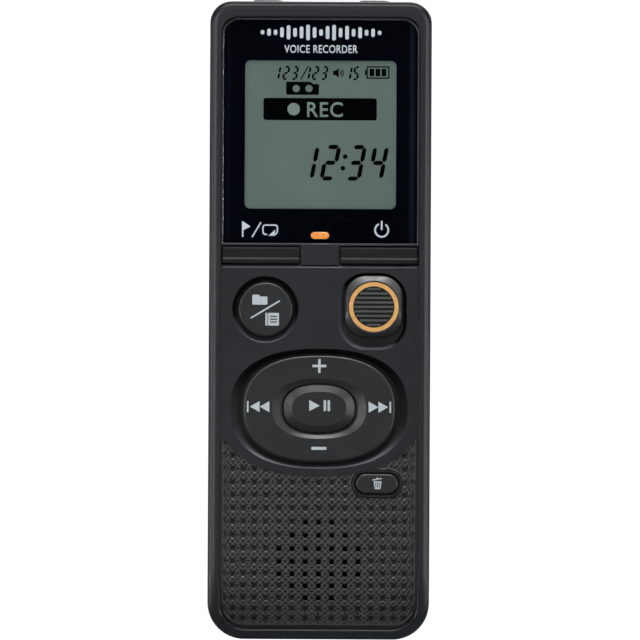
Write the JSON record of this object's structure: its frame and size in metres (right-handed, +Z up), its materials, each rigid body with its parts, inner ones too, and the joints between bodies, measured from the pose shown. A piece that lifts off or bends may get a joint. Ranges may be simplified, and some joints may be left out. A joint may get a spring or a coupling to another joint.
{
  "type": "handheld voice recorder",
  "caption": "Slim bar-shaped voice recorder with a framed display window, bar keys, a round key, a record slider, an oval rocker pad, a pill key and a grille in a textured grip.",
  "frame": {"origin": "on the lower end plane, under the middle of the case's width and depth", "axes": "+Z up the length towards the sockets, the front panel faces -Y, +X is the viewer's right when looking at the front"},
  "size_m": [0.0376, 0.0168, 0.1083],
  "materials": {
    "shell": "fine-grained moulded plastic",
    "cover": "fine-grained moulded plastic",
    "window": "polished clear plastic",
    "mask": "gloss black print",
    "display": "grey-green liquid crystal",
    "reflector": "pearl film",
    "key": "satin moulded plastic",
    "accent_ring": "orange lacquer",
    "lamp": "tinted light pipe",
    "silicone": "moulded silicone",
    "board": "green solder mask",
    "chip": "moulded epoxy",
    "inner_plastic": "moulded plastic",
    "steel": "nickel-plated",
    "magnet": "plated steel",
    "cell": "printed sleeve",
    "cloth": "fine woven scrim",
    "cone": "polymer film",
    "foam": "closed-cell foam",
    "wire": "insulated lead"
  },
  "bodies": {
    "case": {"front_case": "shell", "rear_case": "shell", "display_window": "window", "window_mask": "mask", "lcd_panel": "display", "lcd_reflector": "reflector", "lcd_holder": "inner_plastic", "lcd_connector_strip": "silicone", "led_lens": "lamp", "led_chip": "lamp", "keypad_membrane": "silicone", "main_pcb": "board", "dome_switches": "steel", "slide_switch_body": "inner_plastic", "cpu_chip": "chip", "memory_chip": "chip", "crystal": "steel", "pcb_capacitors": "chip", "usb_socket": "steel", "ear_jack": "inner_plastic", "mic_jack": "inner_plastic", "microphone_boot": "silicone", "microphone_capsule": "steel", "mic_mesh": "cloth", "speaker_frame": "inner_plastic", "speaker_magnet": "magnet", "speaker_cone": "cone", "speaker_gasket": "foam", "speaker_cloth": "cloth", "battery_tray": "inner_plastic", "battery_left": "cell", "battery_right": "cell", "battery_springs": "steel", "battery_bridge": "steel", "battery_plus_terminal": "steel", "battery_minus_terminal": "steel", "case_screws": "steel", "pcb_screws": "steel", "speaker_wires": "wire", "battery_wires": "wire", "mic_wires": "wire"},
    "battery_cover": {"battery_cover": "cover", "cover_foam_pad": "foam"},
    "index_key": {"index_key": "key"},
    "power_key": {"power_key": "key"},
    "folder_button": {"folder_button": "key"},
    "rec_slider": {"rec_knob": "key", "rec_ring": "accent_ring", "rec_grip_pad": "key", "rec_switch_lever": "inner_plastic"},
    "nav_pad": {"nav_pad": "silicone"},
    "nav_ring": {"nav_ring": "key"},
    "play_button": {"play_button": "key"},
    "erase_button": {"erase_button": "key"}
  },
  "joints": [
    {"name": "battery_cover_slide", "type": "slide", "parent": "case", "child": "battery_cover", "axis": [0, 0, -1], "range_m": [0, 0.0755]},
    {"name": "index_key_press", "type": "slide", "parent": "case", "child": "index_key", "axis": [0, 1, 0], "range_m": [0, 0.0003], "stiffness_N_per_m": 10, "springref_m": -0.001},
    {"name": "power_key_press", "type": "slide", "parent": "case", "child": "power_key", "axis": [0, 1, 0], "range_m": [0, 0.0003], "stiffness_N_per_m": 10, "springref_m": -0.001},
    {"name": "folder_press", "type": "slide", "parent": "case", "child": "folder_button", "axis": [0, 1, 0], "range_m": [0, 0.0003], "stiffness_N_per_m": 10, "springref_m": -0.001},
    {"name": "rec_slide", "type": "slide", "parent": "case", "child": "rec_slider", "axis": [0, 0, -1], "range_m": [0, 0.0015]},
    {"name": "nav_tilt_up_down", "type": "hinge", "parent": "case", "child": "nav_pad", "pos_m": [0, -0.0062, 0.0391], "axis": [1, 0, 0], "range_deg": [-1.2, 1.2], "stiffness_Nm_per_rad": 0.002},
    {"name": "nav_tilt_left_right", "type": "hinge", "parent": "nav_pad", "child": "nav_ring", "pos_m": [0, -0.0062, 0.0391], "axis": [0, 0, 1], "range_deg": [-0.9, 0.9], "stiffness_Nm_per_rad": 0.002},
    {"name": "play_press", "type": "slide", "parent": "case", "child": "play_button", "axis": [0, 1, 0], "range_m": [0, 0.0003], "stiffness_N_per_m": 10, "springref_m": -0.001},
    {"name": "erase_press", "type": "slide", "parent": "case", "child": "erase_button", "axis": [0, 1, 0], "range_m": [0, 0.0003], "stiffness_N_per_m": 10, "springref_m": -0.001}
  ]
}
